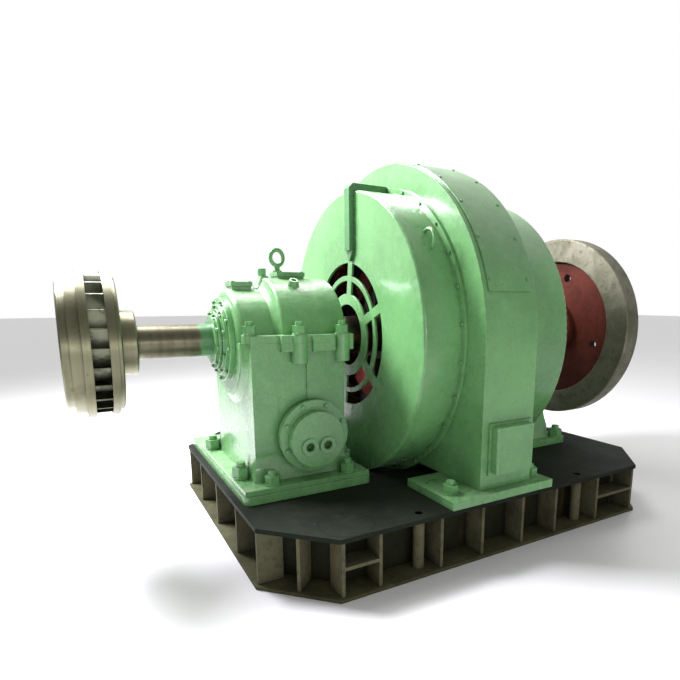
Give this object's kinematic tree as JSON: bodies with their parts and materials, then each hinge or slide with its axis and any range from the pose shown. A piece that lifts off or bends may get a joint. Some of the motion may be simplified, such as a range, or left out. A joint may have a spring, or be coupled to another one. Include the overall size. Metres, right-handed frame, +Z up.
{
  "type": "horizontal hydroelectric generator set",
  "caption": "Horizontal hydroelectric set: overhung Francis runner, pedestal bearings, air-cooled generator and flywheel on a ribbed steel base.",
  "frame": {"origin": "middle of the base frame's underside, on the floor, at the centre of the anchor bolt pattern", "axes": "+X along the shaft from the runner to the flywheel, +Z up, the cooler and terminal box on the -Y side"},
  "size_m": [2.611, 1.588, 1.554],
  "materials": {
    "green_paint": "gloss machine enamel, mint green",
    "base_dark": "dark green-black paint, dusty",
    "base_light": "cream-grey primer, stained",
    "base_brown": "dark brown primer",
    "machined_steel": "turned steel",
    "runner_steel": "machined stainless casting",
    "flywheel_iron": "turned rim, mottled",
    "red_oxide": "red oxide primer",
    "winding": "varnished winding tape",
    "core_steel": "laminations, varnished",
    "bearing_metal": "bearing lining"
  },
  "bodies": {
    "frame": {"anchor_sleeves": "base_light", "base_bottom_flange": "base_light", "base_cross_beams": "base_brown", "base_ribs_far": "base_light", "base_ribs_flywheel_end": "base_light", "base_ribs_near": "base_light", "base_ribs_runner_end": "base_light", "base_shelves": "base_light", "base_top_plate": "base_dark", "base_web": "base_brown", "cap_covers": "green_paint", "cap_stub": "green_paint", "casing_cover_band": "green_paint", "conduit": "green_paint", "cooler_cover": "green_paint", "cooler_flange": "green_paint", "eye_bolt": "green_paint", "front_back_seal": "green_paint", "front_bush": "bearing_metal", "front_cap_bolts": "green_paint", "front_drum_face": "green_paint", "front_drum_wall": "green_paint", "front_foot_bolts": "green_paint", "front_pedestal_body": "green_paint", "front_pedestal_cap": "green_paint", "front_pedestal_plate": "green_paint", "front_seal_rings": "green_paint", "front_vent_grille": "green_paint", "lifting_lugs": "green_paint", "rear_bush": "bearing_metal", "rear_cap_bolts": "green_paint", "rear_drum_face": "green_paint", "rear_drum_wall": "green_paint", "rear_foot_bolts": "green_paint", "rear_pedestal_body": "green_paint", "rear_pedestal_cap": "green_paint", "rear_pedestal_plate": "green_paint", "rear_vent_grille": "green_paint", "stator_casing": "green_paint", "stator_core": "core_steel", "stator_foot_bolts": "green_paint", "stator_foot_plates": "green_paint", "stator_windings": "winding", "terminal_box": "green_paint", "terminal_lid": "green_paint"},
    "rotor": {"flywheel_hub": "flywheel_iron", "flywheel_nut": "machined_steel", "flywheel_rim": "flywheel_iron", "flywheel_web": "red_oxide", "rotor_coils": "winding", "rotor_core": "core_steel", "rotor_fans": "core_steel", "runner_band": "runner_steel", "runner_crown": "runner_steel", "runner_nut": "machined_steel", "runner_vanes": "runner_steel", "shaft": "machined_steel"}
  },
  "joints": [
    {"name": "rotor_spin", "type": "hinge", "parent": "frame", "child": "rotor", "pos_m": [0, 0, 0.8], "axis": [1, 0, 0], "continuous": true}
  ]
}
